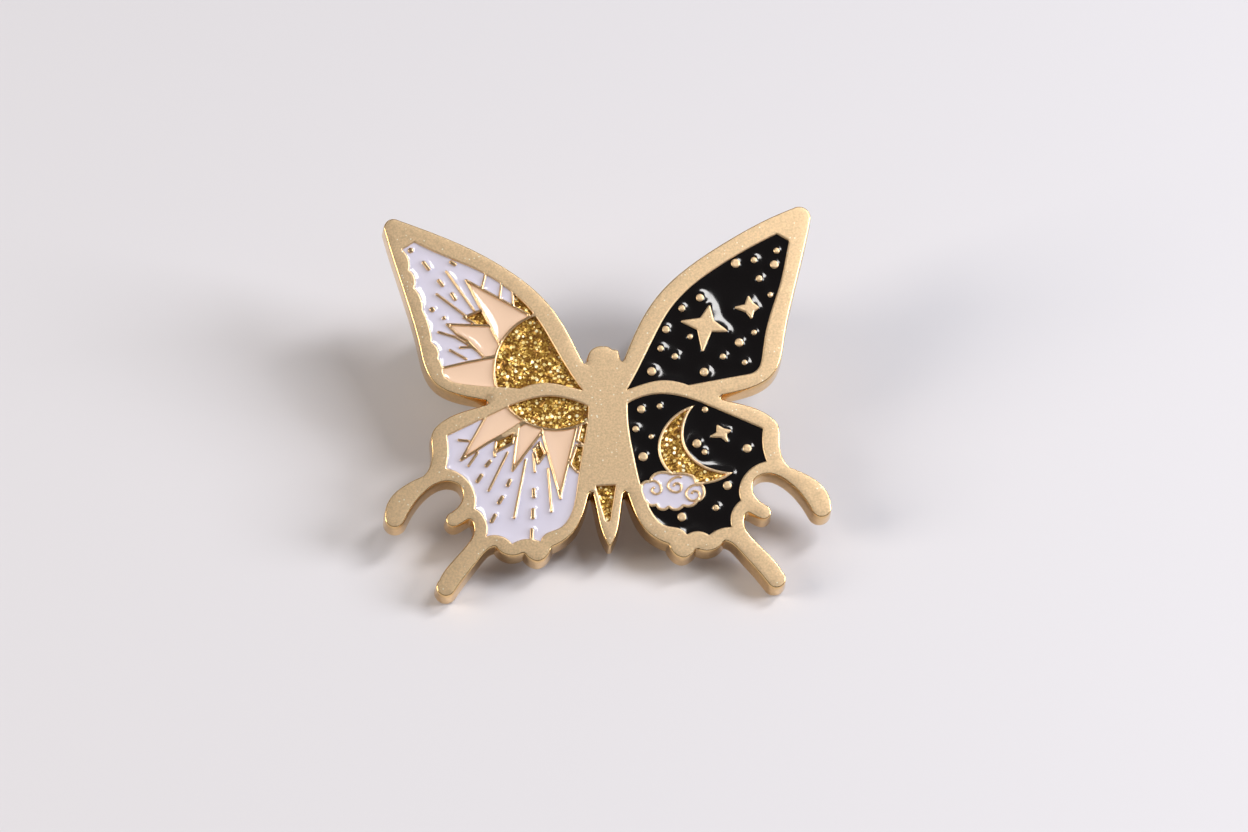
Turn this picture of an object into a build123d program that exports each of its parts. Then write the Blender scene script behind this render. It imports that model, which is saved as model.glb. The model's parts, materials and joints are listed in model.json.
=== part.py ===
"""Butterfly lapel pin: a cast plate with enamel-filled cells, two posts and two butterfly clutches.

Millimetres. The pin leans on the tips of its two lower tails and on the wings of its clutches,
so the face is tilted by TILT. Outlines are drawn flat in the pin's own plane (x to the viewer's
right, y towards the head, seen from the front) and are placed on planes parallel to the face.
"""

from build123d import *
from math import atan2, ceil, cos, degrees, radians, sin
import os

# Plate
PLATE_THICKNESS = 2.5
EDGE_GROWTH = 0.28  # how far the wall stands outside the flat of the face
TIP_Y = 17.0
TAIL_Y = -16.45
CELL_DEPTH = 0.75
ENAMEL_SINK = 0.18  # enamel surface below the metal face
LINE_WIDTH = 0.25  # raised metal lines between enamel colours
SMALLEST_POCKET = 0.2  # mm2; smaller gaps between lines stay metal
CURVE_STEP = 0.6  # spacing of the points through which a grown curve is redrawn
MIN_CURVE_STEPS = 4

# Sun and dots
SUN_CENTRE = (-4.1, 2.9)
SUN_RADIUS = 5.1

# Posts
POST_X = 9.8
POST_Y = 7.9
POST_RADIUS = 0.55
POST_LENGTH = 6.5
FLANGE_RADIUS = 1.4
FLANGE_THICKNESS = 0.5
NECK_RADIUS = 0.38
BARB_RADIUS = 0.5
NECK_START = 3.8
NECK_END = 5.4
TAPER_START = 5.7
POINT_RADIUS = 0.12

# Clutches, measured from the front of the cap away from the plate
CLUTCH_GAP = 3.85  # plate back to cap front
CAP_RADIUS = 5.2
CAP_SHEET = 0.35
CAP_HEIGHT = 2.7
CAP_HOLE_RADIUS = 0.75
LIP_RADIUS = 4.2
ROLL_RADIUS = 0.4
KNUCKLE_U = 3.8
KNUCKLE_W = 1.85
KNUCKLE_RADIUS = 0.42
JAW_SHEET = 0.35
JAW_WIDTH = 3.8
WING_WIDTH = 6.0
WING_CORNER = 1.2
JAW_BORE = 0.66
CLUTCH_HEIGHT = 4.8

# The pin's own plane in the resting pose
TILT = 21.5
UP_SLOPE = (0, cos(radians(TILT)), sin(radians(TILT)))
NORMAL = (0, -sin(radians(TILT)), cos(radians(TILT)))
REST_Y = TAIL_Y - EDGE_GROWTH
FACE_Y = -((TIP_Y + EDGE_GROWTH + REST_Y) * UP_SLOPE[1] - PLATE_THICKNESS * NORMAL[1]) / 2
FACE_Z = -REST_Y * UP_SLOPE[2] + PLATE_THICKNESS * NORMAL[2]
FACE_PLANE = Plane(origin=(0, FACE_Y, FACE_Z), x_dir=(1, 0, 0), z_dir=NORMAL)

os.makedirs("parts", exist_ok=True)


def below_face(depth):
    """The plane parallel to the face, depth behind it."""
    return FACE_PLANE.offset(-depth)


def region(start, *strokes):
    """A filled closed line. Each stroke goes on from the last point: one point is a straight,
    two are an arc through both, and more are a smooth curve."""
    with BuildSketch() as area:
        with BuildLine():
            here = start
            for stroke in strokes:
                points = [here, *stroke]
                if len(points) == 2:
                    Line(*points)
                elif len(points) == 3:
                    ThreePointArc(*points)
                else:
                    Spline(*points)
                here = points[-1]
        make_face()
    return area.sketch


def grown(shape, amount, corners):
    """The shape grown or shrunk evenly, with its curved edges redrawn as smooth curves."""
    with BuildSketch(mode=Mode.PRIVATE) as even:
        add(shape)
        offset(amount=amount, kind=corners)
    with BuildSketch() as redrawn:
        with BuildLine():
            for edge in even.sketch.face().outer_wire().edges():
                if edge.geom_type == GeomType.OFFSET:
                    steps = max(MIN_CURVE_STEPS, ceil(edge.length / CURVE_STEP))
                    on_edge = [edge.position_at(step / steps) for step in range(steps + 1)]
                    Spline(*on_edge, tangents=(edge.tangent_at(0), edge.tangent_at(1)))
                else:
                    add(edge)
        make_face()
    return redrawn.sketch


def flip(points):
    """The same points on the other wing."""
    return [(-x, y) for x, y in points]


def back(points):
    """The same points in the other order."""
    return list(reversed(points))


# ---------------------------------------------------------------- outline of the plate

HEAD_TOP = (0, 4.85)
HEAD_CROWN = [(0.45, 4.79), (0.84, 4.42)]
HEAD_BUMP = [(1.03, 4.52), (1.2, 4.46)]
HEAD_SIDE = [(1.32, 3.9), (1.45, 2.65)]
HEAD_SUN = [(0.5, 4.8), (0.95, 4.5), (1.2, 3.95), (1.4, 2.65)]
LEADING_EDGE = [
    (2.0, 3.9), (3.1, 6.35), (5.0, 9.3), (8.0, 12.0), (11.0, 13.95), (14.5, 15.85),
    (17.0, 16.9),
]
WING_TIP = [(17.95, 16.85), (18.3, 16.15)]
LEADING_EDGE_SUN = [
    (2.0, 3.9), (3.1, 6.35), (5.0, 9.25), (8.0, 11.9), (11.0, 13.75), (14.5, 15.4),
    (17.2, 16.5),
]
WING_TIP_SUN = [(18.0, 16.45), (18.28, 15.9)]
TRAILING_EDGE = [
    (17.0, 11.2), (16.1, 8.0), (15.45, 5.2), (15.05, 3.4), (14.3, 2.1), (12.2, 0.98),
    (9.05, 0.28),
]
HIND_TOP = [(12.0, -0.65), (13.8, -1.5), (14.6, -2.4), (14.65, -3.8), (14.8, -5.1), (15.5, -6.2)]
HOOK_OUTER = [(17.1, -6.98), (18.3, -8.05), (18.75, -9.5)]
HOOK_END = [(18.25, -10.36), (17.4, -10.0)]
HOOK_INNER = [
    (16.8, -8.9), (15.6, -7.45), (13.6, -6.5), (12.4, -7.0), (12.2, -8.2), (12.75, -9.05),
    (13.3, -9.45),
]
NUB = [(13.6, -10.1), (13.1, -10.45)]
BAY = [(12.4, -10.15), (11.7, -9.85), (11.3, -10.6), (11.9, -12.15), (13.3, -13.7), (14.35, -15.2)]
TAIL_END = [(14.35, -16.25), (13.4, -16.2)]
TAIL_INNER = [(12.4, -14.85), (11.2, -13.4), (10.3, -12.45), (9.6, -12.2)]
SCALLOP_OUTER = [(8.4, -13.08), (7.2, -12.72)]
SCALLOP_INNER = [(6.75, -13.38), (6.1, -13.62), (5.45, -13.25), (5.05, -12.42)]
HIND_INNER = [(4.1, -12.0), (3.1, -11.15), (2.0, -8.8), (1.47, -7.1)]
SPIKE = [(0.75, -10.3), (0.2, -12.1), (0, -12.45)]
LOWER_OUTLINE = [
    TRAILING_EDGE,
    HIND_TOP,
    HOOK_OUTER,
    HOOK_END,
    HOOK_INNER,
    NUB,
    BAY,
    TAIL_END,
    TAIL_INNER,
    SCALLOP_OUTER,
    SCALLOP_INNER,
    HIND_INNER,
    SPIKE,
]


def plate_outline():
    """The wall's outline, which is the flat of the face grown by EDGE_GROWTH.

    The two halves mirror each other except at the head, which has a nick on the night side, and
    at the forewing tips, where the sun side is lower.
    """
    night_half = [HEAD_CROWN, HEAD_BUMP, HEAD_SIDE, LEADING_EDGE, WING_TIP, *LOWER_OUTLINE, [HEAD_TOP]]
    sun_half = [HEAD_SUN, LEADING_EDGE_SUN, WING_TIP_SUN, *LOWER_OUTLINE, [HEAD_TOP]]
    with BuildSketch() as outline:
        add(region(HEAD_TOP, *night_half))
        add(region(HEAD_TOP, *[flip(stroke) for stroke in sun_half]))
    return grown(outline.sketch, EDGE_GROWTH, Kind.ARC)


# ---------------------------------------------------------------- cells of the plate

FORE_LEADING = [(3.3, 3.45), (4.6, 5.95), (5.65, 7.75), (7.4, 9.75), (10.0, 11.7)]
FORE_BOTTOM = [(4.0, 1.72), (5.0, 1.85), (6.0, 1.75), (7.2, 1.37)]
HIND_CREST = [(3.2, 0.4), (5.0, 0.62), (6.5, 0.38), (8.2, -0.2)]


def forewing_cell_sun():
    """Opening in the left forewing; its outer side is scalloped."""
    return region(
        (-1.85, 1.12),
        [*flip(FORE_LEADING), (-13.0, 13.15), (-15.8, 14.6)],
        [(-16.85, 13.95)],
        [(-16.35, 13.2), (-16.3, 12.1)],
        [(-15.85, 11.5), (-15.9, 10.5)],
        [(-15.3, 9.45), (-15.2, 8.5)],
        [(-14.7, 7.1), (-14.5, 5.6)],
        [(-14.1, 5.2), (-14.0, 4.2)],
        [(-13.7, 3.6), (-13.65, 2.95)],
        [(-13.25, 2.35), (-12.0, 1.9), (-9.5, 1.6), (-7.2, 1.37)],
        flip(back(FORE_BOTTOM[:-1])) + [(-1.85, 1.12)],
    )


def forewing_cell_night():
    """Opening in the right forewing, with a plain outer side."""
    return region(
        (1.95, 1.07),
        [*FORE_LEADING, (14.0, 14.0), (15.4, 14.68)],
        [(16.43, 14.05)],
        [(16.05, 12.4), (15.5, 10.3), (14.6, 7.8), (14.0, 5.8), (13.65, 3.9), (13.3, 2.8), (12.5, 2.25)],
        [(7.2, 1.37)],
        back(FORE_BOTTOM[:-1]) + [(1.95, 1.07)],
    )


def hindwing_cell_sun():
    """Opening in the left hindwing."""
    return region(
        (-1.4, -0.35),
        flip(HIND_CREST),
        [(-13.45, -2.65)],
        [(-13.35, -3.9), (-13.6, -5.45)],
        [(-12.2, -6.15), (-11.25, -7.6), (-11.27, -9.0)],
        [(-10.5, -9.8), (-10.37, -11.45)],
        [(-9.3, -11.4), (-8.25, -12.15)],
        [(-7.1, -11.75), (-5.85, -12.0)],
        [
            (-5.3, -11.3), (-4.2, -10.88), (-3.5, -10.2), (-2.65, -7.55), (-2.1, -4.4),
            (-1.5, -1.4), (-1.4, -0.35),
        ],
    )


def hindwing_cell_night():
    """Opening in the right hindwing."""
    return region(
        (1.97, -0.15),
        HIND_CREST,
        [(13.4, -2.65)],
        [(13.28, -4.0), (13.57, -5.5)],
        [(12.2, -6.1), (11.15, -7.7), (11.23, -8.85)],
        [(10.45, -9.75), (10.33, -11.15)],
        [(9.3, -11.3), (8.4, -11.8)],
        [(7.5, -11.45), (6.53, -11.7)],
        [
            (5.9, -11.15), (4.7, -10.85), (3.7, -9.75), (2.95, -7.9), (2.4, -5.2),
            (2.05, -2.9), (1.97, -0.15),
        ],
    )


def abdomen_cell():
    """Long triangular opening in the abdomen."""
    corner = (-1.0, -7.35)
    return region(corner, [(0.65, -7.3)], [(0.1, -10.2)], [(-0.12, -10.4), (-0.32, -10.2)], [corner])


# ---------------------------------------------------------------- raised metal drawing

# Rays of the sun: tip first, then where the two sides run into the sun
RAYS_FORE = [
    [(-11.47, 11.1), (-6.2, 7.9), (-6.5, 5.0), (-8.75, 5.3)],
    [(-13.2, 7.2), (-8.8, 6.95), (-8.0, 4.5), (-10.1, 4.15), (-11.4, 5.65), (-12.4, 6.35)],
    [(-13.9, 3.3), (-11.6, 3.8), (-9.3, 4.2), (-7.5, 3.0), (-8.5, 0.8), (-13.9, 0.8)],
]
RAYS_HIND = [
    [(-12.33, -4.77), (-9.9, -0.6), (-7.0, 0.3), (-6.3, -1.1), (-8.7, -2.62), (-10.0, -3.3)],
    [(-8.0, -5.78), (-7.4, -2.0), (-6.2, -1.3), (-5.2, -2.2), (-6.93, -4.37)],
    [(-4.07, -8.14), (-5.5, -2.1), (-4.0, -1.2), (-2.4, -1.9)],
]
# Glitter panes between the rays
PANES_FORE = [
    [(-11.75, 7.8), (-10.0, 8.5), (-9.3, 7.0), (-10.4, 6.9)],
    [(-7.5, 10.2), (-7.5, 8.4), (-5.9, 7.4), (-5.6, 8.6)],
]
PANES_HIND = [
    [(-9.3, -3.16), (-7.65, -2.35), (-7.95, -3.4), (-9.5, -4.2)],
    [(-5.65, -3.4), (-6.15, -3.95), (-5.8, -5.2), (-5.2, -4.4)],
    [(-2.05, -1.85), (-0.8, -1.5), (-1.2, -3.4), (-2.0, -3.7), (-2.45, -3.3)],
    [(-2.5, -3.7), (-1.9, -3.8), (-1.8, -5.9), (-2.55, -6.05), (-3.1, -5.4)],
]
# Straight strokes: two ends each
STROKES_FORE = [
    ((-13.13, 11.9), (-10.87, 8.4)),
    ((-14.0, 9.9), (-11.2, 7.6)),
    ((-13.93, 6.53), (-12.5, 6.05)),
    ((-12.5, 6.05), (-11.33, 5.32)),
    ((-11.33, 5.32), (-10.13, 4.35)),
    ((-12.13, 5.12), (-11.2, 5.15)),
    ((-13.0, 4.91), (-11.67, 4.11)),
    ((-9.75, 11.75), (-10.13, 10.42)),
    ((-8.45, 10.75), (-8.67, 9.28)),
]
STROKES_HIND = [
    ((-12.47, -3.02), (-11.67, -3.12)),
    ((-11.71, -5.28), (-10.93, -4.17)),
    ((-10.07, -7.47), (-8.4, -4.24)),
    ((-8.0, -9.89), (-6.87, -4.91)),
    ((-6.13, -5.92), (-6.2, -4.37)),
    ((-4.84, -9.42), (-5.0, -5.72)),
    ((-9.5, -4.1), (-9.47, -4.5)),
    ((-4.07, -8.0), (-4.03, -8.3)),
]
# Short dashes and pairs of dots
DASHES_FORE = [
    ((-15.05, 12.75), (-14.65, 12.2)),
    ((-12.7, 12.75), (-12.4, 12.55)),
    ((-13.8, 11.1), (-13.5, 10.7)),
    ((-12.7, 9.9), (-12.45, 9.45)),
]
DASHES_HIND = [
    ((-10.2, -5.3), (-9.9, -4.95)),
    ((-11.0, -6.65), (-10.65, -6.15)),
    ((-8.45, -7.05), (-8.25, -6.65)),
    ((-9.25, -8.55), (-8.95, -8.1)),
    ((-9.9, -10.15), (-9.6, -9.65)),
    ((-6.27, -7.5), (-6.27, -8.1)),
    ((-6.38, -9.25), (-6.42, -9.9)),
    ((-6.53, -11.0), (-6.6, -12.0)),
]
DASH_WIDTH = 0.36
DOTS_FORE_SUN = [(-16.13, 13.88, 0.25), (-14.43, 8.55, 0.25), (-13.44, 7.78, 0.18)]
DOTS_FORE_NIGHT = [
    (15.33, 13.2, 0.28),
    (15.07, 11.95, 0.38),
    (13.33, 12.4, 0.28),
    (11.73, 12.13, 0.4),
    (13.71, 10.73, 0.3),
    (14.6, 9.25, 0.25),
    (8.53, 9.12, 0.35),
    (6.93, 8.2, 0.3),
    (5.49, 6.34, 0.33),
    (7.53, 5.66, 0.25),
    (4.96, 4.67, 0.28),
    (6.16, 3.93, 0.28),
    (4.11, 2.65, 0.38),
    (8.6, 2.49, 0.38),
    (10.27, 3.83, 0.27),
    (11.73, 5.05, 0.38),
    (13.04, 5.91, 0.25),
    (12.11, 3.26, 0.25),
]
DOTS_HIND_NIGHT = [
    (3.09, -0.67, 0.35),
    (4.67, -0.44, 0.25),
    (2.55, -2.4, 0.28),
    (3.84, -3.1, 0.22),
    (3.09, -4.85, 0.4),
    (8.53, -0.83, 0.27),
    (7.71, -3.8, 0.38),
    (8.33, -4.56, 0.25),
    (11.97, -4.33, 0.38),
    (10.13, -7.53, 0.38),
    (9.07, -9.45, 0.28),
    (6.16, -10.18, 0.38),
]
# Four-pointed stars: tips and inner corners in turn
BIG_STAR = [
    (9.36, 8.6), (9.67, 7.07), (11.0, 5.98), (9.4, 6.02), (8.5, 4.0), (8.16, 6.22),
    (6.55, 7.08), (8.47, 7.34),
]
SMALL_STAR = [
    (12.7, 9.35), (13.1, 8.6), (13.65, 8.13), (13.15, 7.73), (12.9, 7.0), (12.4, 7.7),
    (11.2, 8.2), (12.33, 8.45),
]
LOW_STAR = [
    (9.45, -2.1), (10.05, -2.5), (10.85, -2.7), (10.3, -3.05), (10.45, -3.95),
    (9.8, -3.35), (8.55, -3.3), (9.4, -2.85),
]
STAR_TIP_RADIUS = 0.12


def sun_disc(grow=0.0):
    """Full circle of the sun, or with its ring line."""
    with BuildSketch() as disc:
        with Locations(SUN_CENTRE):
            Circle(SUN_RADIUS + grow)
    return disc.sketch


def panel(corners, grow):
    """Straight-sided panel, grown with round corners or shrunk with sharp ones."""
    with BuildSketch() as shape:
        with BuildLine():
            Polyline(*corners, close=True)
        make_face()
        offset(amount=grow, kind=Kind.ARC if grow > 0 else Kind.INTERSECTION)
    return shape.sketch


def panels_with_lines(corner_lists):
    """Panels in full, with the raised line around each."""
    with BuildSketch() as shape:
        for corners in corner_lists:
            add(panel(corners, LINE_WIDTH / 2))
    return shape.sketch


def panel_fills(corner_lists):
    """Insides of the panels; each lies behind the ones before it in the list."""
    with BuildSketch() as shape:
        for place, corners in enumerate(back(corner_lists)):
            if place:
                add(panel(corners, LINE_WIDTH / 2), mode=Mode.SUBTRACT)
            add(panel(corners, -LINE_WIDTH / 2))
    return shape.sketch


def bars(ends, width):
    """Round-ended bars, each from one end to the other."""
    with BuildSketch() as shape:
        for a, b in ends:
            run = Vector(*b) - Vector(*a)
            middle = (Vector(*a) + Vector(*b)) / 2
            with Locations(middle):
                SlotCenterToCenter(run.length, width, rotation=degrees(atan2(run.Y, run.X)))
    return shape.sketch


def discs(dots):
    """Round dots of x, y and radius."""
    with BuildSketch() as shape:
        for x, y, radius in dots:
            with Locations((x, y)):
                Circle(radius)
    return shape.sketch


def star(corners):
    """Four-pointed star with blunted tips."""
    with BuildSketch() as shape:
        with BuildLine():
            Polyline(*corners, close=True)
        make_face()
        fillet(shape.vertices(), radius=STAR_TIP_RADIUS)
    return shape.sketch


def moon():
    """Crescent moon with its raised line."""
    return region(
        (7.71, -0.4),
        [(6.5, -0.85), (5.1, -2.1), (4.37, -3.9), (4.95, -6.0), (7.0, -7.3), (9.2, -7.2), (10.72, -6.4)],
        [(9.3, -6.15), (7.6, -5.25), (6.65, -3.5), (6.85, -1.75), (7.71, -0.4)],
    )


def cloud():
    """Cloud with its raised line and scalloped edge, standing in front of the moon."""
    return region(
        (2.72, -7.55),
        [(2.95, -7.05), (3.5, -6.9)],
        [(3.9, -6.35), (4.7, -6.12), (5.4, -6.28)],
        [(6.4, -6.3), (7.3, -6.6), (7.6, -7.22)],
        [(8.15, -7.5), (8.27, -8.1), (8.0, -8.7), (7.6, -8.92)],
        [(7.0, -9.35), (6.35, -9.3)],
        [(5.75, -9.65), (5.1, -9.4)],
        [(4.6, -9.62), (4.0, -9.2)],
        [(3.4, -9.15), (2.9, -8.65), (2.6, -8.1), (2.72, -7.55)],
    )


def cloud_curls():
    """Three curled lines inside the cloud, each a smooth curve given a width."""
    curls = [
        [
            (3.45, -7.1), (4.13, -7.05), (4.5, -7.5), (4.4, -8.0), (3.95, -8.1),
            (3.72, -7.8), (3.98, -7.55),
        ],
        [
            (6.3, -6.75), (5.5, -6.85), (5.1, -7.45), (5.5, -7.95), (6.1, -7.9),
            (6.2, -7.4), (5.75, -7.25), (5.6, -7.5),
        ],
        [
            (7.7, -7.45), (6.95, -7.6), (6.6, -8.2), (7.0, -8.75), (7.6, -8.6),
            (7.7, -8.1), (7.3, -7.95), (7.1, -8.2),
        ],
    ]
    with BuildSketch() as shape:
        for points in curls:
            with BuildLine() as curl:
                Spline(*points)
            trace(curl.line, line_width=LINE_WIDTH * 0.85)
    return shape.sketch


# ---------------------------------------------------------------- enamel regions


def clipped(cell, shapes, cutters):
    """The shapes inside one cell, without what the cutters take away or what is too small to fill."""
    with BuildSketch() as area:
        for shape in shapes:
            add(shape)
        add(cell, mode=Mode.INTERSECT)
        for cutter in cutters:
            add(cutter, mode=Mode.SUBTRACT)
        for face in area.faces().filter_by(lambda face: face.area < SMALLEST_POCKET):
            add(face, mode=Mode.SUBTRACT)
    return area.sketch


def sun_wing_regions(wing, cell, rays, panes, strokes, dashes, dots):
    """Enamel of one wing on the sun side: sun, rays, glitter panes and the white around them."""
    ringed_sun = sun_disc(LINE_WIDTH)
    drawn = bars(strokes, LINE_WIDTH)
    rays_and_lines = panels_with_lines(rays)
    return {
        f"glitter_sun_{wing}": clipped(cell, [sun_disc()], []),
        f"peach_rays_{wing}": clipped(cell, [panel_fills(rays)], [ringed_sun]),
        f"glitter_panes_{wing}": clipped(cell, [panel_fills(panes)], [ringed_sun, rays_and_lines]),
        f"white_enamel_{wing}": clipped(
            cell,
            [cell],
            [
                ringed_sun,
                rays_and_lines,
                panels_with_lines(panes),
                drawn,
                bars(dashes, DASH_WIDTH),
                *([discs(dots)] if dots else []),
            ],
        ),
    }


def night_regions():
    """Enamel of the two wings on the night side, with the moon and the cloud."""
    fore, hind = forewing_cell_night(), hindwing_cell_night()
    fore_metal = [discs(DOTS_FORE_NIGHT), star(BIG_STAR), star(SMALL_STAR)]
    hind_metal = [discs(DOTS_HIND_NIGHT), star(LOW_STAR), moon(), cloud()]
    return {
        "black_enamel_forewing": clipped(fore, [fore], fore_metal),
        "black_enamel_hindwing": clipped(hind, [hind], hind_metal),
        "glitter_moon": clipped(hind, [grown(moon(), -LINE_WIDTH, Kind.INTERSECTION)], [cloud()]),
        "white_cloud": clipped(hind, [grown(cloud(), -LINE_WIDTH, Kind.ARC)], [cloud_curls()]),
    }


def enamel_regions():
    """Flat shape of every enamel colour in every cell, by the name of its piece."""
    fore, hind = forewing_cell_sun(), hindwing_cell_sun()
    return {
        **sun_wing_regions("forewing", fore, RAYS_FORE, PANES_FORE, STROKES_FORE, DASHES_FORE, DOTS_FORE_SUN),
        **sun_wing_regions("hindwing", hind, RAYS_HIND, PANES_HIND, STROKES_HIND, DASHES_HIND, []),
        **night_regions(),
        "glitter_abdomen": abdomen_cell(),
    }


# ---------------------------------------------------------------- solids of the plate


def save(name, piece):
    """Label a finished piece and write it as its own file."""
    piece.label = name
    export_step(piece, f"parts/{name}.step")


def make_plate(outline, regions):
    """Casting with a pocket for every enamel region."""
    with BuildPart() as butterfly_plate:
        with BuildSketch(below_face(PLATE_THICKNESS)):
            add(outline)
        extrude(amount=PLATE_THICKNESS)
        for area in regions.values():
            with BuildSketch(below_face(CELL_DEPTH)):
                add(area)
            extrude(amount=CELL_DEPTH, mode=Mode.SUBTRACT)
    return butterfly_plate.part


def make_enamel(area):
    """Enamel of one colour, from the pocket floor to just below the face."""
    with BuildPart() as enamel:
        with BuildSketch(below_face(CELL_DEPTH)):
            add(area)
        extrude(amount=CELL_DEPTH - ENAMEL_SINK)
    return enamel.part


# ---------------------------------------------------------------- posts and clutches


def post_side_plane(side, w=0.0):
    """Plane through a post's axis: x across the pin, y out of the plate's back, origin w from it."""
    foot = FACE_PLANE.from_local_coords((side * POST_X, POST_Y, -PLATE_THICKNESS - w))
    return Plane(origin=foot, x_dir=(1, 0, 0), z_dir=UP_SLOPE)


def post_axis(side):
    """Axis of one post, pointing away from the plate."""
    foot = FACE_PLANE.from_local_coords((side * POST_X, POST_Y, -PLATE_THICKNESS))
    return Axis(foot, -Vector(*NORMAL))


def make_post(side):
    """Post with a welded foot flange, a neck for the clutch to grip and a pointed end."""
    with BuildPart() as post:
        with BuildSketch(post_side_plane(side)):
            with BuildLine():
                Polyline(
                    (0, 0),
                    (FLANGE_RADIUS, 0),
                    (FLANGE_RADIUS, FLANGE_THICKNESS * 0.6),
                    (FLANGE_RADIUS - 0.2, FLANGE_THICKNESS),
                    (POST_RADIUS, FLANGE_THICKNESS),
                    (POST_RADIUS, NECK_START),
                    (NECK_RADIUS, NECK_START + 0.15),
                    (NECK_RADIUS, NECK_END - 0.15),
                    (BARB_RADIUS, NECK_END),
                    (BARB_RADIUS, TAPER_START),
                    (POINT_RADIUS, POST_LENGTH),
                    (0, POST_LENGTH),
                    close=True,
                )
            make_face()
        revolve(axis=post_axis(side))
    return post.part


def make_cap(side):
    """Clutch cap: a stamped disc with a rolled rim that turns in over the jaws."""
    inner_radius = CAP_RADIUS - CAP_SHEET
    lip_under = CAP_HEIGHT - CAP_SHEET
    with BuildPart() as cap:
        with BuildSketch(post_side_plane(side, CLUTCH_GAP)) as section:
            with BuildLine():
                Polyline(
                    (CAP_HOLE_RADIUS, 0),
                    (CAP_RADIUS, 0),
                    (CAP_RADIUS, CAP_HEIGHT),
                    (LIP_RADIUS, CAP_HEIGHT),
                    (LIP_RADIUS, lip_under),
                    (inner_radius, lip_under),
                    (inner_radius, CAP_SHEET),
                    (CAP_HOLE_RADIUS, CAP_SHEET),
                    close=True,
                )
            make_face()
            outer_corners = section.vertices().sort_by(Axis.X)[-2:]
            fillet(outer_corners, radius=ROLL_RADIUS)
        revolve(axis=post_axis(side))
    return cap.part


def make_jaw(side, hand):
    """One half of the clutch's grip: knuckle under the rim, jaw leaf, and wing to squeeze.

    hand is 1 for the jaw on the post's +X side and -1 for the other.
    """
    leaf_path = [(KNUCKLE_U, KNUCKLE_W), (0.55, 1.2), (1.0, 2.75)]
    wing_path = [(1.0, 2.75), (1.35, 3.5), (2.3, 4.15), (3.4, 4.45), (4.6, 4.62)]
    with BuildPart() as jaw:
        with BuildSketch(post_side_plane(side, CLUTCH_GAP)) as leaf:
            with BuildLine() as leaf_line:
                FilletPolyline(*[(hand * u, w) for u, w in leaf_path], radius=0.35)
            trace(leaf_line.line, line_width=JAW_SHEET)
            with Locations((hand * KNUCKLE_U, KNUCKLE_W)):
                Circle(KNUCKLE_RADIUS)
        extrude(amount=JAW_WIDTH / 2, both=True)
        with BuildSketch(post_side_plane(side, CLUTCH_GAP)) as wing:
            with BuildLine() as wing_line:
                Spline(*[(hand * u, w) for u, w in wing_path])
            trace(wing_line.line, line_width=JAW_SHEET)
        extrude(amount=WING_WIDTH / 2, both=True)
        tip_edges = jaw.edges().filter_by(
            lambda edge: edge.length < JAW_SHEET * 1.01
            and abs(POST_X * side - edge.center().X) > (wing_path[-1][0] - 0.3)
        )
        fillet(tip_edges, radius=WING_CORNER)
        with BuildSketch(post_side_plane(side, CLUTCH_GAP)):
            with Locations((JAW_BORE / 2, CLUTCH_HEIGHT / 2)):
                Rectangle(JAW_BORE, CLUTCH_HEIGHT)
        revolve(axis=post_axis(side), mode=Mode.SUBTRACT)
    return jaw.part


# ---------------------------------------------------------------- assembly

regions = enamel_regions()
save("butterfly_plate", make_plate(plate_outline(), regions))
for region_name, region_area in regions.items():
    save(region_name, make_enamel(region_area))
for side_name, side_sign in (("left", -1), ("right", 1)):
    save(f"post_{side_name}", make_post(side_sign))
    save(f"clutch_cap_{side_name}", make_cap(side_sign))
    save(f"clutch_jaw_outer_{side_name}", make_jaw(side_sign, side_sign))
    save(f"clutch_jaw_inner_{side_name}", make_jaw(side_sign, -side_sign))
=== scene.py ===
import json
import math

import bmesh
import bpy
import numpy as np
from mathutils import Matrix, Vector
from mathutils.geometry import delaunay_2d_cdt
from mathutils.kdtree import KDTree


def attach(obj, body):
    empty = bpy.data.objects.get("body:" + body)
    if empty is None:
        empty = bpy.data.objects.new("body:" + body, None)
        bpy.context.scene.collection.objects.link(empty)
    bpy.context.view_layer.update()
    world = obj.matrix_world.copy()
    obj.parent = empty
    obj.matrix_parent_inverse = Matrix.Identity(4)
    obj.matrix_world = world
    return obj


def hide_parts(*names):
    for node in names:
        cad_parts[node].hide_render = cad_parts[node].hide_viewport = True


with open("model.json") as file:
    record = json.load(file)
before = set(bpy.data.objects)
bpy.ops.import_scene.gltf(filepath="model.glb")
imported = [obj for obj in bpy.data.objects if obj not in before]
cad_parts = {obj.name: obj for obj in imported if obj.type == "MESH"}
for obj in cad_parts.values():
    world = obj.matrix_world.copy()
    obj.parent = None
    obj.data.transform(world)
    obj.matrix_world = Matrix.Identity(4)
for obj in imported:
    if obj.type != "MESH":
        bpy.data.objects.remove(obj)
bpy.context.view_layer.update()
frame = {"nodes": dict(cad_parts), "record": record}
MM = 0.001  # a millimetre in metres

# Sizes in millimetres, in the pin's own plane: x to the viewer's right, y to the head, z out of the face
PLATE = 2.5  # thickness
POST_UP = 7.9  # posts' height above the pin's origin
RIM_INSET = 0.28  # from the wall's foot to the flat of the face
RIM_ROUND = 0.12
RIM_MARGIN = 0.02
WALL_FOOT = -2.25
LINE_ROUND = 0.13
LINE_DROP = 0.12
LINE_HALF_WIDTH = 0.25
LINE_REACH = LINE_HALF_WIDTH + 0.08  # from the broad metal, past which metal is a raised line
BACK_ROUND = 0.2
POCKET_FLOOR = -0.75
LEVEL_TOLERANCE = 0.012
WELD = 0.003
OUTLINE_STEP = 0.14
TREE_STEP = 0.03
RINGS = (0.03, 0.065, 0.1, 0.16, 0.19, 0.22, 0.25, 0.285)
BACK_RINGS = (0.06, 0.13, BACK_ROUND)
ENAMEL_RINGS = (0.035, 0.08, 0.15)
PLATE_SPACING = 0.6
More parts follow.
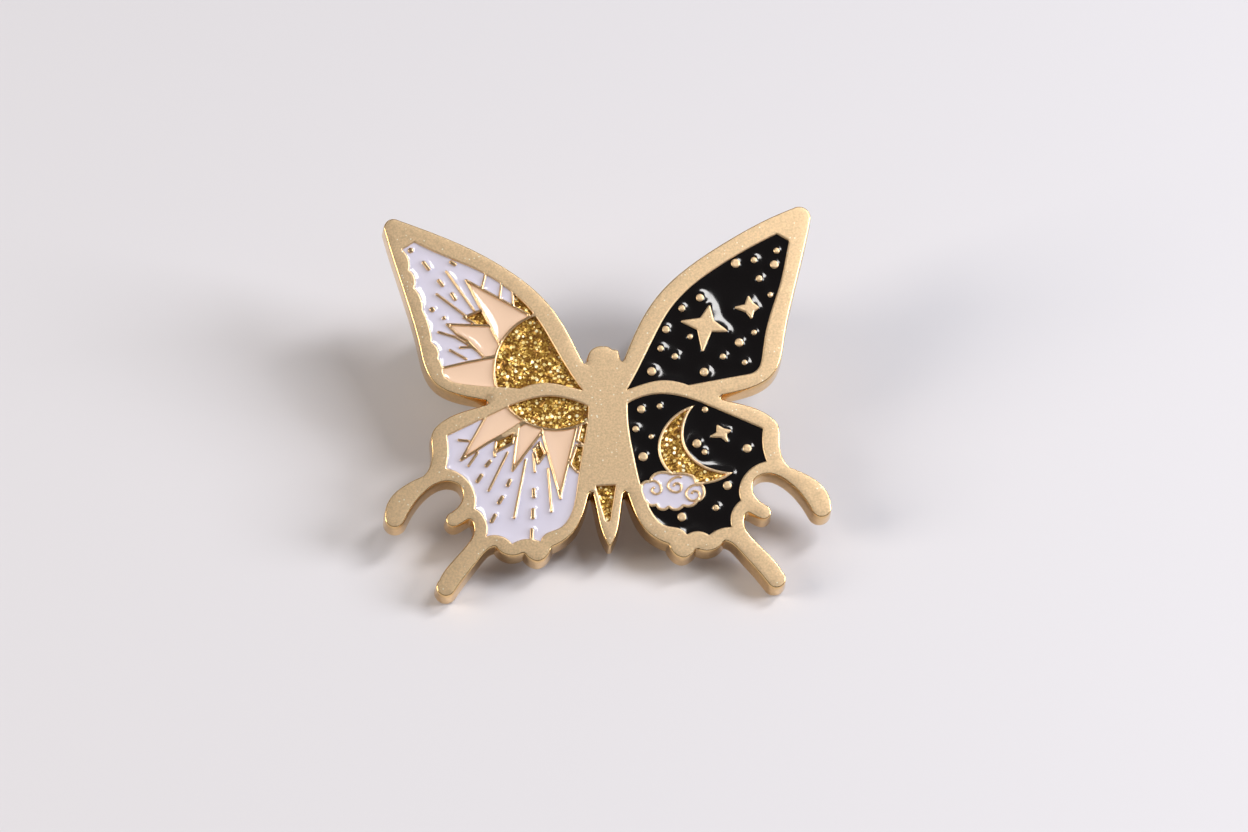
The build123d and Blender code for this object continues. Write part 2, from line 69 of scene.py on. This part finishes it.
BACK_SPACING = 0.8
FINE_CELL = 0.05
GRID_MARGIN = 0.3
SHARP_ANGLE = math.radians(42)
CLUTCH_BEVEL = 0.06 * MM
CLUTCH_BEVEL_ANGLE = math.radians(35)

# Which of the plate's materials a face has
ON_FACE, ON_WALL, ON_BACK, ON_SHADED_LINE = range(4)

# Camera, in the pin's own plane
CAMERA_LENS = 115.4
CAMERA_SENSOR = 36.0
CAMERA_OFFSET = (-1.64, -1.19, 340.1)
CAMERA_PITCH = -15.0
CAMERA_TURN = -3.8
CAMERA_ROLL = -2.27

# Colours, and texture scales in features per metre
GOLD_FACE = (0.80, 0.585, 0.355)
GOLD_WALL = (0.80, 0.53, 0.24)
# Darker gold for the narrow raised lines on the left half: painted shade
SHADED_GOLD_LINE = (0.68, 0.47, 0.27)
PLATING = (0.83, 0.68, 0.43)
# Bright specks painted into the gold face's and back's colour: painted glints
GLINT_COLOUR = (1.0, 0.92, 0.78)
GLINT_SCALE = 2600
GLINT_SHARE = 0.28
GLINT_SIZE = 0.17
GRAIN_DEPTH = 0.02 * MM
WAVE_SCALE = 700
WAVE_DEPTH = 0.03 * MM
AMBER_DARK = (0.13, 0.045, 0.003)
AMBER = (0.30, 0.135, 0.014)
DUST_GOLD = (0.46, 0.25, 0.035)
DUST_LIGHT = (0.72, 0.48, 0.11)
FLAKE_GOLD = (0.80, 0.54, 0.15)
FLAKE_LIGHT = (0.95, 0.77, 0.33)
# Pale cream end of the flakes' colours: the flakes are real, their cream tone is painted glint
FLAKE_GLINT_CREAM = (1.0, 0.96, 0.66)
DUST_SCALE = 7500
FLAKE_SCALE = 2700
FLAKE_SHARE = 0.62
FLAKE_SIZE = 0.36
FLAKE_TILT = 0.34
FLOOR_COLOUR = (0.64, 0.63, 0.67)


# ---------------------------------------------------------------- the pin's plane


def pin_matrix():
    """From the pin's own plane, in millimetres, to the row frame, in metres."""
    slide = next(j for j in frame["record"]["behaviour"]["joints"] if j["type"] == "slide")
    normal = -Vector(slide["axis"]).normalized()
    across = Vector((1, 0, 0))
    up = normal.cross(across)
    posts = [Vector(m["pos_m"]) for m in frame["record"]["mounts"] if m["kind"] == "pin"]
    middle = sum(posts, Vector()) / len(posts)
    face = max(v.co.dot(normal) for v in frame["nodes"]["butterfly_plate"].data.vertices)
    origin = middle - up * POST_UP * MM
    origin += normal * (face - origin.dot(normal))
    turn = Matrix((across, up, normal)).transposed().to_4x4()
    return Matrix.Translation(origin) @ turn @ Matrix.Scale(MM, 4)


TO_ROW = pin_matrix()
TO_PIN = TO_ROW.inverted()


# ---------------------------------------------------------------- outlines out of the CAD nodes


def level_loops(node, level):
    """Closed outlines of the node's flat faces at that height, as arrays of points."""
    mesh = bmesh.new()
    mesh.from_mesh(frame["nodes"][node].data)
    mesh.transform(TO_PIN)
    bmesh.ops.remove_doubles(mesh, verts=mesh.verts, dist=WELD)
    at_level = (f for f in mesh.faces if all(abs(v.co.z - level) < LEVEL_TOLERANCE for v in f.verts))
    flat = dict.fromkeys(at_level)  # keeps the mesh's order, so each run gives the same outlines
    following = {}
    for face in flat:
        for corner in face.loops:
            if sum(1 for f in corner.edge.link_faces if f in flat) == 1:
                following[corner.vert.index] = corner.link_loop_next.vert.index
    mesh.verts.ensure_lookup_table()
    loops = []
    while following:
        start, here = following.popitem()
        chain = [start]
        while here != start:
            chain.append(here)
            here = following.pop(here)
        loops.append(np.array([mesh.verts[i].co.xy[:] for i in chain]))
    mesh.free()
    return [loop for loop in loops if len(loop) > 2]


def resampled(loop, step):
    """The outline with its long edges split."""
    points = []
    for a, b in zip(loop, np.roll(loop, -1, axis=0)):
        count = max(1, int(round(np.hypot(*(b - a)) / step)))
        points.extend(a + (b - a) * k / count for k in range(count))
    return np.array(points)


def signed_area(loop):
    """Area inside the outline, positive where it runs anticlockwise."""
    x, y = loop[:, 0], loop[:, 1]
    return 0.5 * float(np.sum(x * np.roll(y, -1) - np.roll(x, -1) * y))


def inward(loop):
    """Unit directions to the left of the outline, at its points."""
    along = np.roll(loop, -1, axis=0) - np.roll(loop, 1, axis=0)
    along /= np.maximum(np.hypot(along[:, 0], along[:, 1]), 1e-9)[:, None]
    return np.stack([-along[:, 1], along[:, 0]], axis=1)


def nearest_tree(loops):
    """Tree of closely spaced points along the outlines, for distances to them."""
    points = np.concatenate([resampled(loop, TREE_STEP) for loop in loops])
    tree = KDTree(len(points))
    for index, (x, y) in enumerate(points):
        tree.insert((x, y, 0), index)
    tree.balance()
    return tree


def triangulated(loops, tree, rings, spacing):
    """Points and triangles between the outlines, finer near them.

    Each triangle comes with whether it is on the solid side of the outlines, and inside the first.
    """
    points = [Vector(p) for loop in loops for p in loop]
    faces, first = [], 0
    for loop in loops:
        faces.append(list(range(first, first + len(loop))))
        first += len(loop)
    for loop in loops:
        for side in (1, -1):
            for ring in rings:
                for x, y in loop + inward(loop) * ring * side:
                    if tree.find((x, y, 0))[2] > ring * 0.95:
                        points.append(Vector((x, y)))
    every = np.concatenate(loops)
    low, high = every.min(axis=0), every.max(axis=0)
    rows = np.arange(low[1], high[1], spacing * 0.87)
    for row, y in enumerate(rows):
        for x in np.arange(low[0] + (row % 2) * spacing / 2, high[0], spacing):
            if tree.find((x, y, 0))[2] > rings[-1] + spacing * 0.4:
                points.append(Vector((x, y)))
    outlines = [(i, following) for face in faces for i, following in zip(face, face[1:] + face[:1])]
    verts, _, tris = delaunay_2d_cdt(points, outlines, [], 0, 1e-5, False)[:3]
    verts = np.array([v[:] for v in verts])
    centres = verts[np.array(tris)].mean(axis=1)
    return verts, tris, between(centres, loops), between(centres, loops[:1])


def between(spots, loops):
    """Whether each spot has an odd number of the outlines round it."""
    odd = np.zeros(len(spots), bool)
    x, y = spots[:, 0], spots[:, 1]
    for loop in loops:
        for (ax, ay), (bx, by) in zip(loop, np.roll(loop, -1, axis=0)):
            if ay != by:
                hit = ((ay > y) != (by > y)) & (x < ax + (y - ay) * (bx - ax) / (by - ay))
                odd ^= hit
    return odd


def finish_mesh(name, vertices, faces, shades, materials):
    """Object in the row frame from points in the pin's plane, in millimetres."""
    data = bpy.data.meshes.new(name)
    data.from_pydata([(TO_ROW @ Vector(v))[:] for v in vertices], [], faces)
    for material in materials:
        data.materials.append(material)
    data.polygons.foreach_set("material_index", shades)
    mesh = bmesh.new()
    mesh.from_mesh(data)
    bmesh.ops.remove_doubles(mesh, verts=mesh.verts, dist=1e-7)
    bmesh.ops.dissolve_degenerate(mesh, edges=mesh.edges, dist=1e-8)
    bmesh.ops.delete(mesh, geom=[v for v in mesh.verts if not v.link_faces], context="VERTS")
    bmesh.ops.recalc_face_normals(mesh, faces=mesh.faces)
    mesh.to_mesh(data)
    mesh.free()
    data.polygons.foreach_set("use_smooth", [True] * len(data.polygons))
    data.set_sharp_from_angle(angle=SHARP_ANGLE)
    piece = bpy.data.objects.new(name, data)
    bpy.context.collection.objects.link(piece)
    return piece


def rounding(distance, radius, drop):
    """How far a rounded edge is below the face, at that distance from the wall."""
    part = 1 - np.clip(distance / radius, 0, 1)
    return drop * (1 - np.sqrt(np.maximum(0, 1 - part * part)))


def rim_height(distance):
    """Height of the casting's edge at that distance inside the wall's foot: a slant, then a round."""
    top = RIM_INSET - RIM_ROUND
    slant = np.clip((top - distance) / top, 0, 1) * (WALL_FOOT + RIM_ROUND)
    return slant - rounding(distance - top, RIM_ROUND, RIM_ROUND)


# ---------------------------------------------------------------- materials


def new_material(name):
    """Material, its nodes and links, and its shader."""
    material = bpy.data.materials.new(name)
    material.use_nodes = True
    nodes = material.node_tree.nodes
    return material, nodes, material.node_tree.links, nodes["Principled BSDF"]


def colour(rgb):
    """Colour with full opacity."""
    return (*rgb, 1.0)


def add(nodes, kind, **values):
    """Node of that kind with its settings."""
    node = nodes.new(kind)
    for key, value in values.items():
        setattr(node, key, value)
    return node


def grain(nodes, links, scale, detail=2.0):
    """Noise in object space, scale in features per metre."""
    where = nodes.new("ShaderNodeTexCoord")
    noise = nodes.new("ShaderNodeTexNoise")
    noise.inputs["Scale"].default_value = scale
    noise.inputs["Detail"].default_value = detail
    links.new(where.outputs["Object"], noise.inputs["Vector"])
    return noise


def roughen(nodes, links, shader, noise, strength, depth):
    """Bump from the noise, depth in metres."""
    height = nodes.new("ShaderNodeBump")
    height.inputs["Strength"].default_value = strength
    height.inputs["Distance"].default_value = depth
    links.new(noise.outputs["Fac"], height.inputs["Height"])
    links.new(height.outputs["Normal"], shader.inputs["Normal"])


def ramp(nodes, links, source, stops):
    """Colours along the source's value, from (position, colour) pairs."""
    node = nodes.new("ShaderNodeValToRGB")
    while len(node.color_ramp.elements) < len(stops):
        node.color_ramp.elements.new(0.5)
    for element, (at, rgb) in zip(node.color_ramp.elements, stops):
        element.position = at
        element.color = colour(rgb)
    links.new(source, node.inputs["Fac"])
    return node


def metal(name, rgb, rough, bump, grain_scale, contrast=0.08, painted_glints=False):
    """Grained metal in two close tones, with bright specks painted into its colour as glints where it
    sparkles.
    """
    material, nodes, links, shader = new_material(name)
    shader.inputs["Metallic"].default_value = 1.0
    shader.inputs["Roughness"].default_value = rough
    noise = grain(nodes, links, grain_scale, 3.0)
    roughen(nodes, links, shader, noise, bump, GRAIN_DEPTH)
    dark = tuple(c * (1 - contrast) for c in rgb)
    light = tuple(min(1, c * (1 + contrast)) for c in rgb)
    blotches = grain(nodes, links, grain_scale * 0.6, 4.0)
    tone = ramp(nodes, links, blotches.outputs["Fac"], [(0.35, dark), (0.65, light)])
    colour_out = tone.outputs["Color"]
    # Painted glints: bright specks mixed into the base colour
    if painted_glints:
        glint = specks(nodes, links, GLINT_SCALE, GLINT_SHARE, GLINT_SIZE)
        mix = add(nodes, "ShaderNodeMix", data_type="RGBA")
        links.new(glint, mix.inputs[0])
        links.new(colour_out, mix.inputs[6])
        mix.inputs[7].default_value = colour(GLINT_COLOUR)
        colour_out = mix.outputs[2]
    links.new(colour_out, shader.inputs["Base Color"])
    return material


def cells_of(nodes, links, scale):
    """Voronoi cells: their random colour, that colour split, and the distance to the cell's middle."""
    where = nodes.new("ShaderNodeTexCoord")
    cells = nodes.new("ShaderNodeTexVoronoi")
    cells.inputs["Scale"].default_value = scale
    links.new(where.outputs["Object"], cells.inputs["Vector"])
    split = nodes.new("ShaderNodeSeparateColor")
    links.new(cells.outputs["Color"], split.inputs["Color"])
    return cells.outputs["Color"], split, cells.outputs["Distance"]


def math_node(nodes, links, operation, first, second):
    """Result of the operation on a socket and a socket or number."""
    node = add(nodes, "ShaderNodeMath", operation=operation)
    links.new(first, node.inputs[0])
    if isinstance(second, (int, float)):
        node.inputs[1].default_value = second
    else:
        links.new(second, node.inputs[1])
    return node.outputs[0]


def scaled_value(nodes, links, source, factor, offset):
    """The source's value times the factor, plus the offset."""
    node = add(nodes, "ShaderNodeMath", operation="MULTIPLY_ADD")
    links.new(source, node.inputs[0])
    node.inputs[1].default_value = factor
    node.inputs[2].default_value = offset
    return node.outputs[0]


def specks(nodes, links, scale, share, size):
    """1 inside round spots in that share of the cells, 0 elsewhere."""
    _, pick, distance = cells_of(nodes, links, scale)
    chosen = math_node(nodes, links, "LESS_THAN", pick.outputs["Red"], share)
    inside = math_node(nodes, links, "LESS_THAN", distance, size)
    return math_node(nodes, links, "MULTIPLY", chosen, inside)


def enamel(name, rgb, rough=0.09, wave=0.12):
    """Glossy fill with a faint wave in its surface."""
    material, nodes, links, shader = new_material(name)
    shader.inputs["Base Color"].default_value = colour(rgb)
    shader.inputs["Roughness"].default_value = rough
    shader.inputs["Specular IOR Level"].default_value = 0.55
    roughen(nodes, links, shader, grain(nodes, links, WAVE_SCALE), wave, WAVE_DEPTH)
    return material


def glitter(name):
    """Amber resin full of fine gold dust, with larger round flakes, each tilted its own way; the flakes'
    pale cream tone is partly painted glint.
    """
    material, nodes, links, shader = new_material(name)
    dust, dust_pick, _ = cells_of(nodes, links, DUST_SCALE)
    flakes, flake_pick, flake_distance = cells_of(nodes, links, FLAKE_SCALE)
    dust_stops = [(0.0, AMBER_DARK), (0.45, AMBER), (0.8, DUST_GOLD), (1.0, DUST_LIGHT)]
    flake_stops = [(0.0, FLAKE_GOLD), (0.5, FLAKE_LIGHT), (1.0, FLAKE_GLINT_CREAM)]
    dust_tone = ramp(nodes, links, dust_pick.outputs["Red"], dust_stops)
    flake_tone = ramp(nodes, links, flake_pick.outputs["Green"], flake_stops)
    chosen = math_node(nodes, links, "GREATER_THAN", flake_pick.outputs["Red"], 1 - FLAKE_SHARE)
    inside = math_node(nodes, links, "LESS_THAN", flake_distance, FLAKE_SIZE)
    flake = math_node(nodes, links, "MULTIPLY", chosen, inside)
    mix = add(nodes, "ShaderNodeMix", data_type="RGBA")
    links.new(flake, mix.inputs[0])
    links.new(dust_tone.outputs["Color"], mix.inputs[6])
    links.new(flake_tone.outputs["Color"], mix.inputs[7])
    links.new(mix.outputs[2], shader.inputs["Base Color"])
    links.new(scaled_value(nodes, links, flake, -0.15, 0.5), shader.inputs["Metallic"])
    shader.inputs["Roughness"].default_value = 0.35
    total = add(nodes, "ShaderNodeVectorMath", operation="ADD")
    for slot, tilt in enumerate((dust, flakes)):
        lean = add(nodes, "ShaderNodeVectorMath", operation="SUBTRACT")
        links.new(tilt, lean.inputs[0])
        lean.inputs[1].default_value = (0.5, 0.5, 0.5)
        links.new(lean.outputs[0], total.inputs[slot])
    scaled = add(nodes, "ShaderNodeVectorMath", operation="SCALE")
    links.new(total.outputs[0], scaled.inputs[0])
    scaled.inputs["Scale"].default_value = FLAKE_TILT
    moved = add(nodes, "ShaderNodeVectorMath", operation="ADD")
    links.new(nodes.new("ShaderNodeNewGeometry").outputs["Normal"], moved.inputs[0])
    links.new(scaled.outputs[0], moved.inputs[1])
    unit = add(nodes, "ShaderNodeVectorMath", operation="NORMALIZE")
    links.new(moved.outputs[0], unit.inputs[0])
    links.new(unit.outputs[0], shader.inputs["Normal"])
    shader.inputs["Coat Weight"].default_value = 0.7
    shader.inputs["Coat Roughness"].default_value = 0.06
    return material


FACE = metal("satin_gold_face", GOLD_FACE, 0.43, 0.5, 9500, 0.11, painted_glints=True)
WALL = metal("polished_gold_wall", GOLD_WALL, 0.16, 0.2, 4000)
# Darker gold material for the raised lines on the left half: painted shade
SHADED_LINE = metal("gold_line_painted_shade", SHADED_GOLD_LINE, 0.3, 0.3, 11000, 0.07)
BACK = metal("sandblasted_gold_back", GOLD_FACE, 0.48, 0.9, 6000, painted_glints=True)
CLUTCH = metal("gold_plated_clutch", PLATING, 0.2, 0.1, 2500, 0.03)
WHITE = enamel("white_enamel", (0.60, 0.575, 0.69))
PEACH = enamel("peach_enamel", (0.77, 0.555, 0.41))
BLACK = enamel("black_enamel", (0.0035, 0.0025, 0.0025), rough=0.1, wave=0.05)
GLITTER = glitter("gold_glitter_resin")


# ---------------------------------------------------------------- plate


def make_plate():
    """The casting: face, raised lines, pocket walls and floors, outer wall and back."""
    loops = [resampled(loop, OUTLINE_STEP) for loop in level_loops("butterfly_plate", 0.0)]
    loops.sort(key=lambda loop: -abs(signed_area(loop)))
    rim, inner = loops[0], loops[1:]
    tree = nearest_tree(loops)
    points, triangles, solids, inside = triangulated(loops, tree, RINGS, PLATE_SPACING)
    rim_tree, inner_tree = nearest_tree([rim]), nearest_tree(inner)
    edge = np.array([rim_tree.find((x, y, 0))[2] for x, y in points])
    line = np.array([inner_tree.find((x, y, 0))[2] for x, y in points])
    height = rim_height(edge) - rounding(line, LINE_ROUND, LINE_DROP)
    broad = distance_to_broad(points, triangles, solids, line)
    count = len(points)
    vertices = [(x, y, z) for (x, y), z in zip(points, height)]
    vertices += [(x, y, POCKET_FLOOR) for x, y in points]
    faces, shades, sides = [], [], {}
    for triangle, solid, within in zip(triangles, solids, inside):
        if not within:
            continue
        face = tuple(triangle) if solid else tuple(i + count for i in triangle)
        faces.append(face)
        corners = list(triangle)
        if not solid or edge[corners].mean() < RIM_INSET - RIM_MARGIN:
            shades.append(ON_WALL)
        # Narrow raised lines on the left half (x < 0) get the darker gold: painted shade
        elif points[corners, 0].max() < 0 and broad[corners].min() > LINE_REACH:
            shades.append(ON_SHADED_LINE)
        else:
            shades.append(ON_FACE)
        for a, b in zip(triangle, triangle[1:] + triangle[:1]):
            sides.setdefault((min(a, b), max(a, b)), []).append((a, b, solid))
    back = back_surface(rim, vertices, faces, shades)
    for uses in sides.values():
        if len(uses) == 2 and uses[0][2] != uses[1][2]:
            a, b = uses[0][:2]
            faces.append((a, b, b + count, a + count))
            shades.append(ON_WALL)
        elif len(uses) == 1:
            a, b = uses[0][:2]
            faces.append((a, b, back[rounded(points[b])], back[rounded(points[a])]))
            shades.append(ON_WALL)
    plate = finish_mesh("plate_casting", vertices, faces, shades, [FACE, WALL, BACK, SHADED_LINE])
    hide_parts("butterfly_plate")
    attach(plate, "pin")


def distance_to_broad(points, triangles, solids, line):
    """Each point's distance to the broad metal, which leaves out the thin raised lines."""
    metal_points = {i for triangle, solid in zip(triangles, solids) if solid for i in triangle}
    broad_points = [i for i in metal_points if line[i] > LINE_HALF_WIDTH]
    tree = KDTree(len(broad_points))
    for i in broad_points:
        tree.insert((*points[i], 0), i)
    tree.balance()
    return np.array([tree.find((x, y, 0))[2] for x, y in points])


def rounded(point):
    """Key by which the face's and the back's edge points are matched."""
    return (round(float(point[0]), 4), round(float(point[1]), 4))


def back_surface(rim, vertices, faces, shades):
    """Adds the plate's back. Returns the index of each point of its edge."""
    tree = nearest_tree([rim])
    points, triangles, inside, _ = triangulated([rim], tree, BACK_RINGS, BACK_SPACING)
    edge = np.array([tree.find((x, y, 0))[2] for x, y in points])
    height = -PLATE + rounding(edge, BACK_ROUND, BACK_ROUND)
    first = len(vertices)
    vertices.extend((x, y, z) for (x, y), z in zip(points, height))
    for triangle, within in zip(triangles, inside):
        if within:
            faces.append(tuple(first + i for i in reversed(triangle)))
            shades.append(ON_BACK)
    return {rounded(point): first + i for i, point in enumerate(points)}


# ---------------------------------------------------------------- enamels


def filled_rows(loops, xs, ys):
    """Which cells of a grid lie between the outlines."""
    mask = np.zeros((len(ys), len(xs)), bool)
    for loop in loops:
        a, b = loop, np.roll(loop, -1, axis=0)
        for row, y in enumerate(ys):
            hit = (a[:, 1] > y) != (b[:, 1] > y)
            if hit.any():
                p, q = a[hit], b[hit]
                at = p[:, 0] + (y - p[:, 1]) * (q[:, 0] - p[:, 0]) / (q[:, 1] - p[:, 1])
                mask[row] ^= (np.searchsorted(np.sort(at), xs) % 2) == 1
    return mask


def wetted(loops, edge_height, middle_height, reach):
    """Heights of an enamel surface that climbs to the metal round it, on a grid."""
    every = np.concatenate(loops)
    low, high = every.min(axis=0) - GRID_MARGIN, every.max(axis=0) + GRID_MARGIN
    xs = np.arange(low[0], high[0], FINE_CELL)
    ys = np.arange(low[1], high[1], FINE_CELL)
    open_cell = filled_rows(loops, xs, ys)
    surface = np.where(open_cell, middle_height, edge_height)
    pull = (FINE_CELL / reach) ** 2
    sweeps = int(6 * reach / FINE_CELL) ** 2 // 10 + 120  # enough for the surface to settle
    for _ in range(sweeps):
        around = sum(np.roll(surface, step, axis) for axis in (0, 1) for step in (1, -1))
        surface = np.where(open_cell, (around + pull * middle_height) / (4 + pull), edge_height)
    return low, surface


def grid_height(low, surface, points):
    """Heights of the grid's surface at the points, by bilinear interpolation."""
    spot = (points - low) / FINE_CELL
    base = np.clip(np.floor(spot).astype(int), 0, np.array(surface.shape)[::-1] - 2)
    part = spot - base
    i, j = base[:, 1], base[:, 0]
    u, v = part[:, 0], part[:, 1]
    return (
        surface[i, j] * (1 - u) * (1 - v)
        + surface[i, j + 1] * u * (1 - v)
        + surface[i + 1, j] * (1 - u) * v
        + surface[i + 1, j + 1] * u * v
    )


def make_enamel(node, material, slot, edge, middle, reach, spacing):
    """A fill in place of its CAD node, from its height at the metal to its height in the middle."""
    top = max((TO_PIN @ v.co).z for v in frame["nodes"][node].data.vertices)
    loops = [resampled(loop, OUTLINE_STEP) for loop in level_loops(node, top)]
    tree = nearest_tree(loops)
    points, triangles, solids, _ = triangulated(loops, tree, ENAMEL_RINGS, spacing)
    low, surface = wetted(loops, edge, middle, reach)
    height = grid_height(low, surface, points)
    count = len(points)
    vertices = [(x, y, z) for (x, y), z in zip(points, height)]
    vertices += [(x, y, POCKET_FLOOR) for x, y in points]
    faces, sides = [], {}
    for triangle, solid in zip(triangles, solids):
        if solid:
            faces.append(tuple(triangle))
            faces.append(tuple(i + count for i in reversed(triangle)))
            for a, b in zip(triangle, triangle[1:] + triangle[:1]):
                sides.setdefault((min(a, b), max(a, b)), []).append((a, b))
    for uses in sides.values():
        if len(uses) == 1:
            a, b = uses[0]
            faces.append((b, a, a + count, b + count))
    piece = finish_mesh(node + "_fill", vertices, faces, [0] * len(faces), [material])
    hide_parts(node)
    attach(piece, "pin")


# CAD node, material, slot, height at the metal, height in the middle, reach of the climb, point spacing
ENAMELS = (
    ("white_enamel_forewing", WHITE, "white_enamel", -0.15, -0.36, 0.42, 0.25),
    ("white_enamel_hindwing", WHITE, "white_enamel", -0.15, -0.36, 0.42, 0.25),
    ("white_cloud", WHITE, "white_enamel", -0.15, -0.24, 0.3, 0.25),
    ("peach_rays_forewing", PEACH, "peach_enamel", -0.15, -0.38, 0.5, 0.22),
    ("peach_rays_hindwing", PEACH, "peach_enamel", -0.15, -0.38, 0.5, 0.22),
    ("black_enamel_forewing", BLACK, "black_enamel", -0.15, -0.45, 0.75, 0.17),
    ("black_enamel_hindwing", BLACK, "black_enamel", -0.15, -0.45, 0.75, 0.17),
    ("glitter_sun_forewing", GLITTER, "amber_glitter", -0.33, -0.42, 0.4, 0.3),
    ("glitter_sun_hindwing", GLITTER, "amber_glitter", -0.33, -0.42, 0.4, 0.3),
    ("glitter_panes_forewing", GLITTER, "amber_glitter", -0.28, -0.34, 0.4, 0.3),
    ("glitter_panes_hindwing", GLITTER, "amber_glitter", -0.28, -0.34, 0.4, 0.3),
    ("glitter_moon", GLITTER, "amber_glitter", -0.22, -0.28, 0.4, 0.3),
    ("glitter_abdomen", GLITTER, "amber_glitter", -0.33, -0.42, 0.4, 0.3),
)
make_plate()
for entry in ENAMELS:
    make_enamel(*entry)


# ---------------------------------------------------------------- posts and clutches

for name, node in frame["nodes"].items():
    if name.startswith(("post", "clutch")):
        node.data.materials.clear()
        node.data.materials.append(CLUTCH)
        bevel = node.modifiers.new("soft_edges", "BEVEL")
        bevel.width = CLUTCH_BEVEL
        bevel.segments = 2
        bevel.angle_limit = CLUTCH_BEVEL_ANGLE


# ---------------------------------------------------------------- floor, light and camera


def make_floor():
    """Pale floor that is only seen from above."""
    bpy.ops.mesh.primitive_plane_add(size=3.0, location=(0, 0, 0))
    floor = bpy.context.object
    floor.name = "floor"
    material, nodes, links, shader = new_material("pale_floor")
    shader.inputs["Base Color"].default_value = colour(FLOOR_COLOUR)
    shader.inputs["Roughness"].default_value = 0.6
    clear = nodes.new("ShaderNodeBsdfTransparent")
    side = nodes.new("ShaderNodeNewGeometry")
    mix = nodes.new("ShaderNodeMixShader")
    links.new(side.outputs["Backfacing"], mix.inputs["Fac"])
    links.new(shader.outputs[0], mix.inputs[1])
    links.new(clear.outputs[0], mix.inputs[2])
    links.new(mix.outputs[0], nodes["Material Output"].inputs["Surface"])
    floor.data.materials.append(material)


# Name, place, size, power and colour
LIGHTS = (
    ("left_box", (-0.42, -0.08, 0.26), (0.20, 0.26), 1.6, (1.0, 0.92, 0.80)),
    ("right_box", (0.42, -0.04, 0.28), (0.20, 0.26), 2.0, (0.98, 0.985, 1.0)),
    ("high_box", (0.25, 0.10, 0.50), (0.10, 0.24), 1.3, (1.0, 0.98, 0.96)),
)
LIGHT_TARGET = (0, 0, 0.008)


def area_light(name, place, size, power, rgb):
    """Soft light turned to the pin's middle."""
    data = bpy.data.lights.new(name, "AREA")
    data.shape = "RECTANGLE"
    data.size, data.size_y = size
    data.energy = power
    data.color = rgb
    light = bpy.data.objects.new(name, data)
    bpy.context.collection.objects.link(light)
    light.location = place
    light.rotation_euler = (Vector(LIGHT_TARGET) - Vector(place)).to_track_quat("-Z", "Y").to_euler()


def make_camera():
    """Camera at the photograph's angle to the pin's plane."""
    data = bpy.data.cameras.new("camera")
    data.lens = CAMERA_LENS
    data.sensor_width = CAMERA_SENSOR
    data.clip_start, data.clip_end = 0.01, 10.0
    turn = (
        Matrix.Rotation(math.radians(CAMERA_ROLL), 3, "Z")
        @ Matrix.Rotation(math.radians(CAMERA_PITCH), 3, "X")
        @ Matrix.Rotation(math.radians(CAMERA_TURN), 3, "Y")
        @ Matrix.Diagonal((1, -1, -1))
    )
    place = -(turn.transposed() @ Vector(CAMERA_OFFSET))
    right, down, ahead = turn[0].copy(), turn[1].copy(), turn[2].copy()
    axes = Matrix((right, -down, -ahead)).transposed()
    spin = (TO_ROW.to_3x3() * (1 / MM)) @ axes
    camera = bpy.data.objects.new("camera", data)
    bpy.context.collection.objects.link(camera)
    camera.matrix_world = Matrix.Translation(TO_ROW @ place) @ spin.to_4x4()
    bpy.context.scene.camera = camera


def make_world():
    """Soft surroundings: dim overhead and in front, bright low down behind and at the sides."""
    world = bpy.data.worlds.new("studio")
    world.use_nodes = True
    nodes, links = world.node_tree.nodes, world.node_tree.links
    where = nodes.new("ShaderNodeTexCoord")
    split = nodes.new("ShaderNodeSeparateXYZ")
    links.new(where.outputs["Generated"], split.inputs[0])
    behind = scaled_value(nodes, links, split.outputs["Y"], 0.40, 0.60)
    low = scaled_value(nodes, links, split.outputs["Z"], -0.72, 0.92)
    both = math_node(nodes, links, "MULTIPLY", behind, low)
    tone = ramp(nodes, links, both, [(0.0, (0.03, 0.03, 0.032)), (1.0, (0.95, 0.96, 1.0))])
    background = nodes["Background"]
    links.new(tone.outputs["Color"], background.inputs["Color"])
    background.inputs["Strength"].default_value = 0.75
    bpy.context.scene.world = world


make_floor()
for light in LIGHTS:
    area_light(*light)
make_world()
bpy.context.scene.view_settings.view_transform = "Standard"
make_camera()
